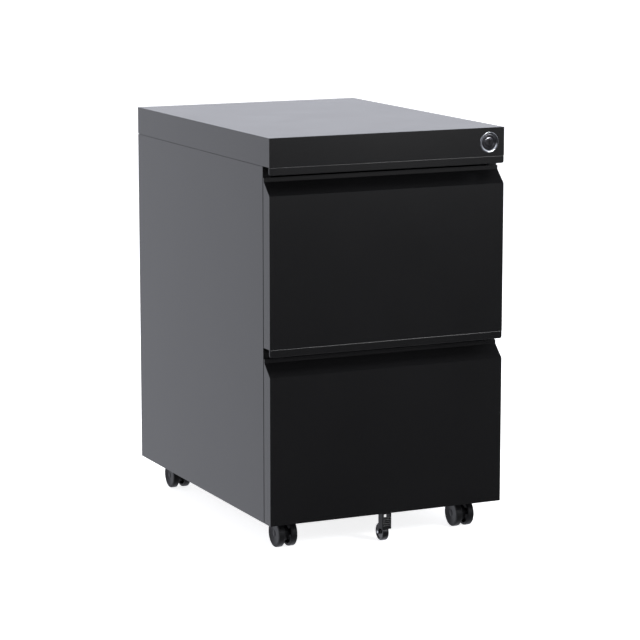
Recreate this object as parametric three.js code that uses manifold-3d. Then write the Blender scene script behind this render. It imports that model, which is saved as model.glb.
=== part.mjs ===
// Two-drawer steel filing pedestal on four twin-wheel casters.
// Millimetres. +X is the cabinet's right, +Y its back, +Z up. The floor is z = 0 and the origin is
// the middle of the footprint. Depths called "d" count backwards from the front face.

import * as THREE from 'three';
import { mergeVertices } from 'three/addons/utils/BufferGeometryUtils.js';
import Module from 'manifold-3d';

const wasm = await Module();
wasm.setup();

// ---- Driving dimensions ----------------------------------------------------------------------

// Overall
const cabinetWidth = 370;
const cabinetDepth = 500;
const cabinetHeight = 596;
const sheet = 0.8;
const touchGap = 0.3;
const cutMargin = 1;

// Cap and the lips that hang in front of the finger gaps
const capHeight = 41;
const capSeam = 0.8;
const lipHeight = 11.2;
const lipThickness = 3;
const lipRoot = 3;
const lipCornerRadius = 3.2;
const joggleHeight = 30;
const joggleRoot = 14;

// Drawer fronts
const frontDepth = 21;
const frontToBodyGap = 2;
const fingerGap = 4.8;
const stripHeight = 6;
const slantDepth = 19;
const slantRise = 18.2;
const frontHeightDifference = 2.6;

// Cabinet body
const returnFlange = 13;
const hemWidth = 9;
const hemEndGap = 1.5;
const backFlange = 15;
const baseRise = 6;
const baseFlange = 4.7;
const railHeight = 11.5;
const railDepth = 14;
const railAboveTray = 4;
const topRailLift = 2;
const uprightWidth = 30;
const frontUprightInset = 60;
const rearUprightInset = 30;

// Trays and file rails
const trayRise = 10;
const trayTopDrop = 10.2;
const trayBackClearance = 29;
const fileRailRise = 9;
const fileRailGrip = 8;
const fileRailSheet = 0.8;
const fileRailEndGap = 2;

// Telescopic slides
const slideThickness = 12.7;
const slideHeight = 45;
const slideSheet = 1.2;
const slideBallGap = 2;
const slideSideGap = 0.5;
const slideFrontInset = 40;
const slideBackClearance = 20;
const slideRise = 70;

// Lock
const lockInset = 24.7;
const lockBelowMiddle = 0.6;
const lockRimLap = 2.5;
const lockProud = 1.2;
const lockRimLand = 0.9;
const lockRimFunnel = 0.4;
const lockEdgeChamfer = 0.5;
const lockBarrelRadius = 12.5;
const lockBarrelLength = 20;
const plugHeadWall = 0.9;
const plugHeadDepth = 3;
const plugHeadSink = 0.7;
const plugShaftRadius = 7;
const plugClearance = 0.3;
const keyholeWidth = 2;
const keyholeHeight = 8;
const keyholeDepth = 6;
const lockNutLap = 3;
const lockNutThickness = 4;
const camThickness = 2;
const camRadius = 10;
const camThrow = 7;
const camPinRadius = 2;
const camPinSlack = 0.5;
const barDepthInset = 31;
const barThickness = 2;
const barWidth = 8;
const barSideClearance = 1.2;
const barSlotWall = 1.4;
const barArmRise = 5;
const hookReach = 9.5;
const hookHeight = 8;
const hookClearance = 1;
const catchDrop = 30;
const catchHeight = 12;
const catchReach = 10;
const catchThickness = 2;
const catchPlateLength = 18;
const catchPlateHeight = 18;

// Casters
const casterHeadroom = 4;
const casterSideInset = 41.5;
const frontCasterInset = 63;
const rearCasterInset = 34;
const casterTrail = 14;
const wheelRadius = 20;
const wheelWidth = 9.6;
const wheelGap = 9.6;
const wheelChamfer = 1.2;
const wheelCover = 1.5;
const casterAxleRadius = 2.5;
const axleClearance = 0.08;
const hoodWebInset = 4;
const hoodCollarRadius = 13;
const hoodCollarGap = 0.5;
const hoodBlockRise = 6;
const hoodBlockTrim = 2;
const casterSeatRadius = 16;
const casterSeatDepth = 3;
const kingpinRadius = 4;
const kingpinHead = 1.7;

// Anti-tip wheel under the lower drawer
const tipWheelRadius = 13;
const tipWheelWidth = 10.3;
const tipWheelLift = 0.5;
const tipWheelInset = 17;
const tipWheelChamfer = 1;
const tipBracketWidth = 14.3;
const tipBracketSheet = 1.5;
const tipBracketInset = 1.5;
const tipBracketDepth = 14;
const tipWindowWidth = 9.5;
const tipWindowHeight = 4;
const tipWebHeight = 18.2;
const tipLegRadius = 3.6;
const tipAxleRadius = 1.6;
const tipAxleOverhang = 1;

// ---- Sizes that follow from them -------------------------------------------------------------

const halfWidth = cabinetWidth / 2;
const frontY = -(cabinetDepth - lockProud) / 2;
const bodyBottom = 2 * wheelRadius + casterHeadroom;
const capBottom = cabinetHeight - capHeight;
const wallInside = halfWidth - sheet;
const joggleOutside = wallInside - touchGap;
const joggleInside = joggleOutside - sheet;
const innerHalf = joggleInside - touchGap;
const bodyFront = frontDepth + frontToBodyGap;
const sideTop = capBottom - capSeam;
const joggleBottom = sideTop - joggleRoot;

const frontStack = capBottom - bodyBottom - 2 * (fingerGap + lipHeight);
const lowerFrontHeight = (frontStack - frontHeightDifference) / 2;
const upperFrontHeight = frontStack - lowerFrontHeight;
const lowerFront = { bottom: bodyBottom, top: bodyBottom + lowerFrontHeight };
const upperFrontBottom = lowerFront.top + fingerGap + lipHeight;
const upperFront = { bottom: upperFrontBottom, top: upperFrontBottom + upperFrontHeight };

const trayHeight = lowerFrontHeight - trayRise - trayTopDrop;
const openingHalf = halfWidth - returnFlange;
const slideInside = openingHalf - slideThickness;
const trayHalf = slideInside - touchGap;
const trayFront = frontDepth + touchGap;
const trayBack = cabinetDepth - trayBackClearance;

const baseTop = bodyBottom + baseRise + sheet;
const baseUnderside = baseTop - sheet;
const lockX = halfWidth - lockInset;
const lockZ = cabinetHeight - capHeight / 2 - lockBelowMiddle;
const lockRimRadius = lockBarrelRadius + lockRimLap;
const lockNutRadius = lockBarrelRadius + lockNutLap;
const plugHeadRadius = lockBarrelRadius - plugHeadWall - plugClearance;
const barOutside = joggleInside - barSideClearance;
const barInside = barOutside - barWidth;
const camFront = lockBarrelLength + 2 * touchGap;
const camSwing = Math.PI / 4;

const quarterTurn = Math.PI / 2;
const roundSides = 40;
const smallRoundSides = 24;
const hexagonSides = 6;

// ---- Helpers ---------------------------------------------------------------------------------

function fromFront(depth) {
  return frontY + depth;
}

function toSolid(geometry) {
  const plain = geometry.clone();
  plain.deleteAttribute('normal');
  plain.deleteAttribute('uv');
  const merged = mergeVertices(plain, 1e-4);
  const vertProperties = new Float32Array(merged.attributes.position.array);
  const triVerts = new Uint32Array(merged.index.array);
  return new wasm.Manifold(new wasm.Mesh({ numProp: 3, vertProperties, triVerts }));
}

function toGeometry(solid) {
  const mesh = solid.getMesh();
  const geometry = new THREE.BufferGeometry();
  geometry.setAttribute('position', new THREE.BufferAttribute(mesh.vertProperties, 3));
  geometry.setIndex(new THREE.BufferAttribute(mesh.triVerts, 1));
  geometry.computeVertexNormals();
  return geometry;
}

function join(...geometries) {
  const [first, ...rest] = geometries.map(toSolid);
  return toGeometry(rest.reduce((whole, piece) => whole.add(piece), first));
}

function cut(geometry, ...tools) {
  return toGeometry(tools.map(toSolid).reduce((whole, tool) => whole.subtract(tool), toSolid(geometry)));
}

// A block between two x, two depths from the front, and two heights. The limits come in any order.
function block(x0, x1, d0, d1, z0, z1) {
  const geometry = new THREE.BoxGeometry(Math.abs(x1 - x0), Math.abs(d1 - d0), Math.abs(z1 - z0));
  return geometry.translate((x0 + x1) / 2, fromFront((d0 + d1) / 2), (z0 + z1) / 2);
}

function outlineShape(points) {
  return new THREE.Shape(points.map(([u, v]) => new THREE.Vector2(u, v)));
}

function extrude(shape, length) {
  return new THREE.ExtrudeGeometry(shape, { depth: length, bevelEnabled: false, curveSegments: 8 });
}

// Outline of (depth, z) points, swept from x0 to x1.
function sweptAcross(points, x0, x1) {
  const placed = points.map(([depth, z]) => [fromFront(depth), z]);
  const axes = new THREE.Matrix4().makeBasis(
    new THREE.Vector3(0, 1, 0),
    new THREE.Vector3(0, 0, 1),
    new THREE.Vector3(1, 0, 0),
  );
  return extrude(outlineShape(placed), x1 - x0).applyMatrix4(axes).translate(x0, 0, 0);
}

// Shape of (x, z) points, swept back from depth d0 to d1.
function sweptBack(shape, d0, d1) {
  return extrude(shape, d1 - d0).rotateX(quarterTurn).translate(0, fromFront(d1), 0);
}

// Outline of (x, depth) points, swept up from z0 to z1.
function sweptUp(points, z0, z1) {
  const placed = points.map(([x, depth]) => [x, fromFront(depth)]);
  return extrude(outlineShape(placed), z1 - z0).translate(0, 0, z0);
}

// A cylinder along X, Y or Z that starts at a point and runs the positive way.
function rod(axis, radius, length, x, depth, z, sides = smallRoundSides) {
  const geometry = new THREE.CylinderGeometry(radius, radius, length, sides).translate(0, length / 2, 0);
  if (axis === 'x') geometry.rotateZ(-quarterTurn);
  if (axis === 'z') geometry.rotateX(quarterTurn);
  return geometry.translate(x, fromFront(depth), z);
}

// A turned piece: (radius, along) points round an axis, laid on X (with a direction) or Y.
function turned(profile, sides) {
  return new THREE.LatheGeometry(profile.map(([r, along]) => new THREE.Vector2(r, along)), sides);
}

// ---- Materials -------------------------------------------------------------------------------

function finish(color, roughness, metalness) {
  return () => new THREE.MeshStandardMaterial({ color, roughness, metalness });
}

const blackPaint = finish(0x1d1d1f, 0.42, 0.1);
const zincSteel = finish(0xa9adb0, 0.35, 0.9);
const chrome = finish(0xd8dadd, 0.12, 1);
const blackNylon = finish(0x232326, 0.5, 0);

const cabinet = new THREE.Group();

function addPiece(name, geometry, material) {
  const mesh = new THREE.Mesh(geometry, material());
  mesh.name = name;
  cabinet.add(mesh);
}

const sides = [
  ['left', -1],
  ['right', 1],
];

// ---- Cabinet body ----------------------------------------------------------------------------

// A folded side wall: outer skin with an inward return at the front, a hem along the bottom and a
// joggled edge that runs up inside the cap's skirt.
function sidePanel(sign) {
  const wall = sweptUp(
    [
      [sign * halfWidth, bodyFront],
      [sign * halfWidth, cabinetDepth],
      [sign * wallInside, cabinetDepth],
      [sign * wallInside, bodyFront + sheet],
      [sign * openingHalf, bodyFront + sheet],
      [sign * openingHalf, bodyFront],
    ],
    bodyBottom,
    sideTop,
  );
  const hemBack = cabinetDepth - backFlange - hemEndGap;
  const hem = block(
    sign * (wallInside - hemWidth),
    sign * (wallInside + sheet / 2),
    bodyFront + sheet / 2,
    hemBack,
    bodyBottom,
    bodyBottom + sheet,
  );
  const joggleFront = bodyFront + sheet / 2;
  const joggleBack = cabinetDepth - 2 * sheet;
  const root = block(
    sign * joggleInside,
    sign * (wallInside + sheet / 2),
    joggleFront,
    joggleBack,
    joggleBottom,
    sideTop - touchGap,
  );
  const tongue = block(
    sign * joggleInside,
    sign * joggleOutside,
    joggleFront,
    joggleBack,
    joggleBottom,
    joggleBottom + joggleRoot + joggleHeight,
  );
  return join(wall, hem, root, tongue);
}

for (const [side, sign] of sides) addPiece(`${side}_side_panel`, sidePanel(sign), blackPaint);

// The back is a pan with forward flanges inside the side walls and the same joggle at its top.
function backPanel() {
  const half = joggleOutside;
  const skin = block(-half, half, cabinetDepth - sheet, cabinetDepth, bodyBottom, sideTop);
  const flanges = sides.map(([, sign]) =>
    block(
      sign * half,
      sign * (half - sheet),
      cabinetDepth - backFlange,
      cabinetDepth - sheet / 2,
      bodyBottom,
      joggleBottom - touchGap,
    ),
  );
  const tongueHalf = innerHalf;
  const tongueBack = cabinetDepth - sheet - touchGap;
  const root = block(
    -tongueHalf,
    tongueHalf,
    tongueBack - sheet,
    cabinetDepth - sheet / 2,
    joggleBottom,
    sideTop - touchGap,
  );
  const tongue = block(
    -tongueHalf,
    tongueHalf,
    tongueBack - sheet,
    tongueBack,
    joggleBottom,
    joggleBottom + joggleRoot + joggleHeight,
  );
  return join(skin, ...flanges, root, tongue);
}

addPiece('back_panel', backPanel(), blackPaint);

const casterPlaces = [
  ['front_left', -1, frontCasterInset],
  ['front_right', 1, frontCasterInset],
  ['rear_left', -1, cabinetDepth - rearCasterInset],
  ['rear_right', 1, cabinetDepth - rearCasterInset],
];
const casterX = halfWidth - casterSideInset;
const casterSeatBottom = baseUnderside - casterSeatDepth;

// The base is an upside-down pan. Four round seats are pressed down where the casters pivot.
function basePanel() {
  const half = innerHalf;
  const front = bodyFront + sheet + touchGap;
  const back = cabinetDepth - sheet - 2 * touchGap;
  const flangeBottom = baseUnderside - baseFlange;
  const outer = block(-half, half, front, back, flangeBottom, baseTop);
  const hollow = block(
    -half + sheet,
    half - sheet,
    front + sheet,
    back - sheet,
    flangeBottom - cutMargin,
    baseUnderside,
  );
  const seats = casterPlaces.map(([, sign, depth]) =>
    rod('z', casterSeatRadius, casterSeatDepth + sheet / 2, sign * casterX, depth, casterSeatBottom),
  );
  const holeBottom = casterSeatBottom - cutMargin;
  const holes = casterPlaces.map(([, sign, depth]) =>
    rod('z', kingpinRadius + touchGap, baseRise + sheet, sign * casterX, depth, holeBottom),
  );
  return cut(join(cut(outer, hollow), ...seats), ...holes);
}

addPiece('base_panel', basePanel(), blackPaint);

// A lip is a hemmed strip as wide as the cabinet, with its two lower corners rounded off.
function lip(top) {
  const low = top - lipHeight;
  const high = top + lipRoot;
  const r = lipCornerRadius;
  const shape = new THREE.Shape();
  shape.moveTo(-halfWidth + sheet / 2, high);
  shape.lineTo(-halfWidth + sheet / 2, top);
  shape.lineTo(-halfWidth, top);
  shape.lineTo(-halfWidth, low + r);
  shape.absarc(-halfWidth + r, low + r, r, Math.PI, Math.PI + quarterTurn, false);
  shape.lineTo(halfWidth - r, low);
  shape.absarc(halfWidth - r, low + r, r, -quarterTurn, 0, false);
  shape.lineTo(halfWidth, top);
  shape.lineTo(halfWidth - sheet / 2, top);
  shape.lineTo(halfWidth - sheet / 2, high);
  return sweptBack(shape, 0, lipThickness);
}

// The cap is a five-sided lid, with the first lip along its front edge and a hole for the lock.
function topCap() {
  const outer = block(-halfWidth, halfWidth, 0, cabinetDepth, capBottom, cabinetHeight);
  const hollow = block(
    -wallInside,
    wallInside,
    sheet,
    cabinetDepth - sheet,
    capBottom - cutMargin,
    cabinetHeight - sheet,
  );
  const holeRadius = lockBarrelRadius + touchGap;
  const holeLength = sheet + 2 * cutMargin;
  const lockHole = rod('y', holeRadius, holeLength, lockX, -cutMargin, lockZ, roundSides);
  const nutSeat = rod('y', lockNutRadius + touchGap, railDepth, lockX, sheet, lockZ, roundSides);
  return cut(join(cut(outer, hollow), lip(capBottom)), lockHole, nutSeat);
}

addPiece('top_cap', topCap(), blackPaint);

// A channel across the front opening, open to the back. The lock bar drops through a notch at its
// right end.
function frontRail(bottom) {
  const half = innerHalf;
  const front = bodyFront + sheet + touchGap;
  const top = bottom + railHeight;
  const outer = block(-half, half, front, front + railDepth, bottom, top);
  const hollow = block(
    -half - cutMargin,
    half + cutMargin,
    front + sheet,
    front + railDepth + cutMargin,
    bottom + sheet,
    top - sheet,
  );
  const notch = block(
    barInside - barSideClearance,
    half + cutMargin,
    barDepthInset - barSideClearance,
    barDepthInset + barThickness + barSideClearance,
    bottom - cutMargin,
    top + cutMargin,
  );
  return cut(outer, hollow, notch);
}

const fileRailTop = (front) => front.bottom + trayRise + trayHeight + fileRailRise;
const middleRailBottom = fileRailTop(lowerFront) + railAboveTray;
const topRailBottom = fileRailTop(upperFront) + railAboveTray + topRailLift;
addPiece('middle_front_rail', frontRail(middleRailBottom), blackPaint);
addPiece('top_front_rail', frontRail(topRailBottom), blackPaint);

// Channels that stand inside the side walls and carry the slides clear of the return flange.
function upright(sign, depth) {
  const outside = joggleOutside;
  const inside = openingHalf + touchGap;
  const low = baseTop + touchGap;
  const high = joggleBottom - touchGap;
  return sweptUp(
    [
      [sign * outside, depth],
      [sign * outside, depth + sheet],
      [sign * (inside + sheet), depth + sheet],
      [sign * (inside + sheet), depth + uprightWidth - sheet],
      [sign * outside, depth + uprightWidth - sheet],
      [sign * outside, depth + uprightWidth],
      [sign * inside, depth + uprightWidth],
      [sign * inside, depth],
    ],
    low,
    high,
  );
}

for (const [side, sign] of sides) {
  addPiece(`front_${side}_upright`, upright(sign, frontUprightInset), blackPaint);
  const rearDepth = cabinetDepth - rearUprightInset - uprightWidth;
  addPiece(`rear_${side}_upright`, upright(sign, rearDepth), blackPaint);
}

// ---- Slides ----------------------------------------------------------------------------------

// One member of a telescopic slide: a channel whose web is at webX and whose flanges reach tipX.
function slideMember(sign, webX, tipX, height, centreZ) {
  const inward = Math.sign(tipX - webX);
  const webFar = webX + inward * slideSheet;
  const half = height / 2;
  const low = centreZ - half;
  const high = centreZ + half;
  const shape = outlineShape([
    [sign * webX, low],
    [sign * tipX, low],
    [sign * tipX, low + slideSheet],
    [sign * webFar, low + slideSheet],
    [sign * webFar, high - slideSheet],
    [sign * tipX, high - slideSheet],
    [sign * tipX, high],
    [sign * webX, high],
  ]);
  return sweptBack(shape, slideFrontInset, cabinetDepth - slideBackClearance);
}

function addSlide(drawer, side, sign, centreZ) {
  const nest = 2 * (slideSheet + slideBallGap);
  const outerWeb = openingHalf;
  const middleWeb = outerWeb - slideSheet - slideSideGap;
  const innerTip = middleWeb - slideSheet - slideSideGap;
  const flangeTip = slideInside + slideSheet + slideSideGap;
  const name = (member) => `${drawer}_${side}_slide_${member}`;
  const outer = slideMember(sign, outerWeb, flangeTip, slideHeight, centreZ);
  const middle = slideMember(sign, middleWeb, flangeTip, slideHeight - nest, centreZ);
  const inner = slideMember(sign, slideInside, innerTip, slideHeight - 2 * nest, centreZ);
  addPiece(name('outer'), outer, zincSteel);
  addPiece(name('middle'), middle, zincSteel);
  addPiece(name('inner'), inner, zincSteel);
}

// ---- Drawers ---------------------------------------------------------------------------------

// The front is a folded pan. Above its flat face the metal leans back to a short upright strip,
// which leaves room for fingers under the lip above.
function drawerFront(front, hasLip) {
  const slantTop = front.top - stripHeight;
  const faceTop = slantTop - slantRise;
  const slope = slantRise / slantDepth;
  const skinDrop = sheet * Math.hypot(1, slope);
  const outer = sweptAcross(
    [
      [0, front.bottom],
      [0, faceTop],
      [slantDepth, slantTop],
      [slantDepth, front.top],
      [frontDepth, front.top],
      [frontDepth, front.bottom],
    ],
    -halfWidth,
    halfWidth,
  );
  const hollow = sweptAcross(
    [
      [sheet, front.bottom + sheet],
      [sheet, faceTop + sheet * slope - skinDrop],
      [slantDepth, slantTop - skinDrop],
      [frontDepth + cutMargin, slantTop - skinDrop],
      [frontDepth + cutMargin, front.bottom + sheet],
    ],
    -wallInside,
    wallInside,
  );
  const pan = cut(outer, hollow);
  return hasLip ? join(pan, lip(front.bottom)) : pan;
}

function frontLiner(front) {
  const half = joggleOutside;
  const slantTop = front.top - stripHeight;
  const skinDrop = sheet * Math.hypot(1, slantRise / slantDepth);
  const low = front.bottom + sheet + touchGap;
  return block(-half, half, frontDepth - sheet, frontDepth, low, slantTop - skinDrop - touchGap);
}

function drawerTray(low) {
  const high = low + trayHeight;
  const outer = block(-trayHalf, trayHalf, trayFront, trayBack, low, high);
  const inside = trayHalf - sheet;
  const rim = high + cutMargin;
  const hollow = block(-inside, inside, trayFront + sheet, trayBack - sheet, low + sheet, rim);
  return cut(outer, hollow);
}

// A channel clipped over the tray's side wall. Hanging folders hook over its upper edge.
function fileRail(sign, trayTop) {
  const outside = trayHalf + touchGap;
  const inside = trayHalf - sheet - touchGap;
  const low = trayTop - fileRailGrip;
  const high = trayTop + fileRailRise;
  const shape = outlineShape([
    [sign * (outside + fileRailSheet), low],
    [sign * (outside + fileRailSheet), high],
    [sign * (inside - fileRailSheet), high],
    [sign * (inside - fileRailSheet), low],
    [sign * inside, low],
    [sign * inside, high - fileRailSheet],
    [sign * outside, high - fileRailSheet],
    [sign * outside, low],
  ]);
  return sweptBack(shape, trayFront + fileRailEndGap, trayBack - fileRailEndGap);
}

const catchDepth = barDepthInset + barThickness + hookClearance;

// A folded tab on the tray's right side. The lock bar's hook drops in front of it.
function lockCatch(centreZ) {
  const skin = trayHalf + touchGap;
  const plate = block(
    skin,
    skin + slideSheet,
    catchDepth,
    catchDepth + catchPlateLength,
    centreZ - catchPlateHeight / 2,
    centreZ + catchPlateHeight / 2,
  );
  const tab = block(
    skin,
    skin + catchReach,
    catchDepth,
    catchDepth + catchThickness,
    centreZ - catchHeight / 2,
    centreZ + catchHeight / 2,
  );
  return join(plate, tab);
}

const catchZ = (front) => front.bottom + trayRise + trayHeight - catchDrop;

for (const [drawer, front, hasLip] of [
  ['upper', upperFront, true],
  ['lower', lowerFront, false],
]) {
  const trayBottom = front.bottom + trayRise;
  addPiece(`${drawer}_drawer_front`, drawerFront(front, hasLip), blackPaint);
  addPiece(`${drawer}_front_liner`, frontLiner(front), blackPaint);
  addPiece(`${drawer}_drawer_tray`, drawerTray(trayBottom), blackPaint);
  for (const [side, sign] of sides) {
    addPiece(`${drawer}_file_rail_${side}`, fileRail(sign, trayBottom + trayHeight), blackPaint);
    addSlide(drawer, side, sign, trayBottom + slideRise);
  }
  addPiece(`${drawer}_lock_catch`, lockCatch(catchZ(front)), zincSteel);
}

// ---- Lock ------------------------------------------------------------------------------------

const headRoom = plugHeadRadius + plugClearance;
const shaftRoom = plugShaftRadius + plugClearance / 3;
const headFloor = plugHeadDepth + plugClearance;

// Turned about the lock's axis: a rim on the cap's face and a barrel through it, bored in two steps.
function lockHousing() {
  const rimBack = -touchGap;
  const landOutside = lockRimRadius - lockEdgeChamfer;
  const profile = [
    [shaftRoom, headFloor],
    [headRoom, headFloor],
    [headRoom, -lockProud + lockRimFunnel],
    [landOutside - lockRimLand, -lockProud],
    [landOutside, -lockProud],
    [lockRimRadius, -lockProud + lockEdgeChamfer],
    [lockRimRadius, rimBack],
    [lockBarrelRadius, rimBack],
    [lockBarrelRadius, lockBarrelLength],
    [shaftRoom, lockBarrelLength],
    [shaftRoom, headFloor],
  ];
  return turned(profile, roundSides).translate(lockX, frontY, lockZ);
}

function lockNut() {
  const front = sheet + touchGap;
  const outer = rod('y', lockNutRadius, lockNutThickness, lockX, front, lockZ, hexagonSides);
  const boreRadius = lockBarrelRadius + touchGap;
  const boreLength = lockNutThickness + 2 * cutMargin;
  const bore = rod('y', boreRadius, boreLength, lockX, front - cutMargin, lockZ, roundSides);
  return cut(outer, bore);
}

function lockPlug() {
  const headFront = -lockProud + plugHeadSink;
  const profile = [
    [0, headFront],
    [plugHeadRadius - lockEdgeChamfer, headFront],
    [plugHeadRadius, headFront + lockEdgeChamfer],
    [plugHeadRadius, plugHeadDepth],
    [plugShaftRadius, plugHeadDepth],
    [plugShaftRadius, lockBarrelLength + touchGap],
    [0, lockBarrelLength + touchGap],
  ];
  const body = turned(profile, roundSides).translate(lockX, frontY, lockZ);
  const keyhole = block(
    lockX - keyholeWidth / 2,
    lockX + keyholeWidth / 2,
    headFront - cutMargin,
    headFront + keyholeDepth,
    lockZ - keyholeHeight / 2,
    lockZ + keyholeHeight / 2,
  );
  return cut(body, keyhole);
}

const pinX = lockX + camThrow * Math.cos(camSwing);
const pinZ = lockZ + camThrow * Math.sin(camSwing);
const camBack = camFront + camThickness;
const pinEnd = barDepthInset + barThickness + hookClearance;

// The cam turns with the plug. Its pin works in the lock bar's slot.
function lockCam() {
  const disc = rod('y', camRadius, camThickness, lockX, camFront, lockZ);
  const pin = rod('y', camPinRadius, pinEnd - camBack + sheet, pinX, camBack - sheet, pinZ);
  return join(disc, pin);
}

// A flat bar behind the right return flange. The slotted arm at its top rides on the cam's pin, and
// one hook for each drawer sticks out towards the tray.
function lockBar() {
  const d0 = barDepthInset;
  const d1 = barDepthInset + barThickness;
  const slotLeft = pinX - camPinRadius - camPinSlack;
  const slotRight = lockX + camThrow + camPinRadius + camPinSlack;
  const slotHalf = camPinRadius + camPinSlack;
  const armHalf = slotHalf + barArmRise;
  const root = barInside + cutMargin;
  const hookBottom = (front) => catchZ(front) + catchHeight / 2 + hookClearance;
  const stripBottom = hookBottom(lowerFront) - hookHeight;
  const strip = block(barInside, barOutside, d0, d1, stripBottom, pinZ + armHalf);
  const arm = block(slotLeft - barSlotWall, root, d0, d1, pinZ - armHalf, pinZ + armHalf);
  const slot = block(
    slotLeft,
    slotRight,
    d0 - cutMargin,
    d1 + cutMargin,
    pinZ - slotHalf,
    pinZ + slotHalf,
  );
  const hooks = [lowerFront, upperFront].map((front) => {
    const low = hookBottom(front);
    return block(barInside - hookReach, root, d0, d1, low, low + hookHeight);
  });
  return cut(join(strip, arm, ...hooks), slot);
}

addPiece('lock_housing', lockHousing(), chrome);
addPiece('lock_nut', lockNut(), zincSteel);
addPiece('lock_plug', lockPlug(), chrome);
addPiece('lock_cam', lockCam(), zincSteel);
addPiece('lock_bar', lockBar(), zincSteel);

// ---- Wheels ----------------------------------------------------------------------------------

// A wheel with a blind bore, turned about X. Its closed face looks the way "outward" points.
function blindWheel(outward, x, depth) {
  const bore = casterAxleRadius + axleClearance;
  const profile = [
    [0, wheelWidth - wheelCover],
    [bore, wheelWidth - wheelCover],
    [bore, 0],
    [wheelRadius - wheelChamfer, 0],
    [wheelRadius, wheelChamfer],
    [wheelRadius, wheelWidth - wheelChamfer],
    [wheelRadius - wheelChamfer, wheelWidth],
    [0, wheelWidth],
  ];
  const wheel = turned(profile, roundSides).rotateZ(-outward * quarterTurn);
  return wheel.translate(x, fromFront(depth), wheelRadius);
}

// The housing holds the axle in a web between the wheels and pivots on a kingpin in the base.
function casterHousing(x, pivotDepth, axleDepth) {
  const webWidth = wheelGap - 2 * touchGap;
  const left = x - webWidth / 2;
  const right = x + webWidth / 2;
  const collarLow = 2 * wheelRadius + hoodCollarGap;
  const collarHigh = casterSeatBottom - touchGap;
  const webRadius = wheelRadius - hoodWebInset;
  const web = rod('x', webRadius, webWidth, left, axleDepth, wheelRadius, roundSides);
  const blockBack = pivotDepth + hoodCollarRadius - hoodBlockTrim;
  const blockBottom = wheelRadius + hoodBlockRise;
  const stem = block(left, right, axleDepth, blockBack, blockBottom, collarLow + touchGap);
  const collar = rod('z', hoodCollarRadius, collarHigh - collarLow, x, pivotDepth, collarLow, roundSides);
  const kingpinTop = baseTop + kingpinHead;
  const kingpin = rod('z', kingpinRadius, kingpinTop - collarLow, x, pivotDepth, collarLow);
  const boreRadius = casterAxleRadius + axleClearance;
  const boreLength = webWidth + 2 * cutMargin;
  const bore = rod('x', boreRadius, boreLength, left - cutMargin, axleDepth, wheelRadius);
  return cut(join(web, stem, collar, kingpin), bore);
}

for (const [place, sign, pivotDepth] of casterPlaces) {
  const x = sign * casterX;
  const axleDepth = pivotDepth - casterTrail;
  const axleHalf = wheelGap / 2 + wheelWidth - wheelCover - touchGap;
  addPiece(`${place}_caster_housing`, casterHousing(x, pivotDepth, axleDepth), blackNylon);
  const axle = rod('x', casterAxleRadius, 2 * axleHalf, x - axleHalf, axleDepth, wheelRadius);
  addPiece(`${place}_caster_axle`, axle, zincSteel);
  for (const [side, outward] of sides) {
    const wheel = blindWheel(outward, x + (outward * wheelGap) / 2, axleDepth);
    addPiece(`${place}_caster_wheel_${side}`, wheel, blackNylon);
  }
}

// The anti-tip wheel runs just clear of the floor under the middle of the lower drawer's front.
const tipWheelZ = tipWheelRadius + tipWheelLift;

function tipBracket() {
  const half = tipBracketWidth / 2;
  const inner = half - tipBracketSheet;
  const front = tipBracketInset;
  const back = tipBracketInset + tipBracketDepth;
  const top = bodyBottom - touchGap;
  const foot = block(-half, half, front, back, top - tipBracketSheet, top);
  const webLow = top - tipBracketSheet - tipWindowHeight - tipWebHeight;
  const web = block(-half, half, front, front + tipBracketSheet, webLow, top);
  const window = block(
    -tipWindowWidth / 2,
    tipWindowWidth / 2,
    front - cutMargin,
    front + tipBracketSheet + cutMargin,
    top - tipBracketSheet - tipWindowHeight,
    top - tipBracketSheet,
  );
  const legs = sides.map(([, sign]) => {
    const legLeft = sign > 0 ? inner : -half;
    const upper = block(sign * inner, sign * half, front, back, webLow, top);
    const lower = block(
      sign * inner,
      sign * half,
      tipWheelInset - tipLegRadius,
      tipWheelInset + tipLegRadius,
      tipWheelZ,
      webLow + tipBracketSheet,
    );
    const eye = rod('x', tipLegRadius, tipBracketSheet, legLeft, tipWheelInset, tipWheelZ);
    return join(upper, lower, eye);
  });
  const boreRadius = tipAxleRadius + axleClearance;
  const boreLength = tipBracketWidth + 2 * cutMargin;
  const bore = rod('x', boreRadius, boreLength, -half - cutMargin, tipWheelInset, tipWheelZ);
  return cut(join(foot, web, ...legs), window, bore);
}

function tipWheel() {
  const half = tipWheelWidth / 2;
  const bore = tipAxleRadius + axleClearance;
  const profile = [
    [bore, -half],
    [tipWheelRadius - tipWheelChamfer, -half],
    [tipWheelRadius, -half + tipWheelChamfer],
    [tipWheelRadius, half - tipWheelChamfer],
    [tipWheelRadius - tipWheelChamfer, half],
    [bore, half],
    [bore, -half],
  ];
  const wheel = turned(profile, roundSides).rotateZ(-quarterTurn);
  return wheel.translate(0, fromFront(tipWheelInset), tipWheelZ);
}

const tipAxleLength = tipBracketWidth + 2 * tipAxleOverhang;
const tipAxle = rod('x', tipAxleRadius, tipAxleLength, -tipAxleLength / 2, tipWheelInset, tipWheelZ);

addPiece('tip_wheel_bracket', tipBracket(), blackPaint);
addPiece('tip_wheel_axle', tipAxle, zincSteel);
addPiece('tip_wheel', tipWheel(), blackNylon);

export default cabinet;
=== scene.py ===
"""Looks for the two-drawer steel filing pedestal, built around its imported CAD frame. Metres."""

import math

import bmesh
import bpy
from mathutils import Matrix, Vector


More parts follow.
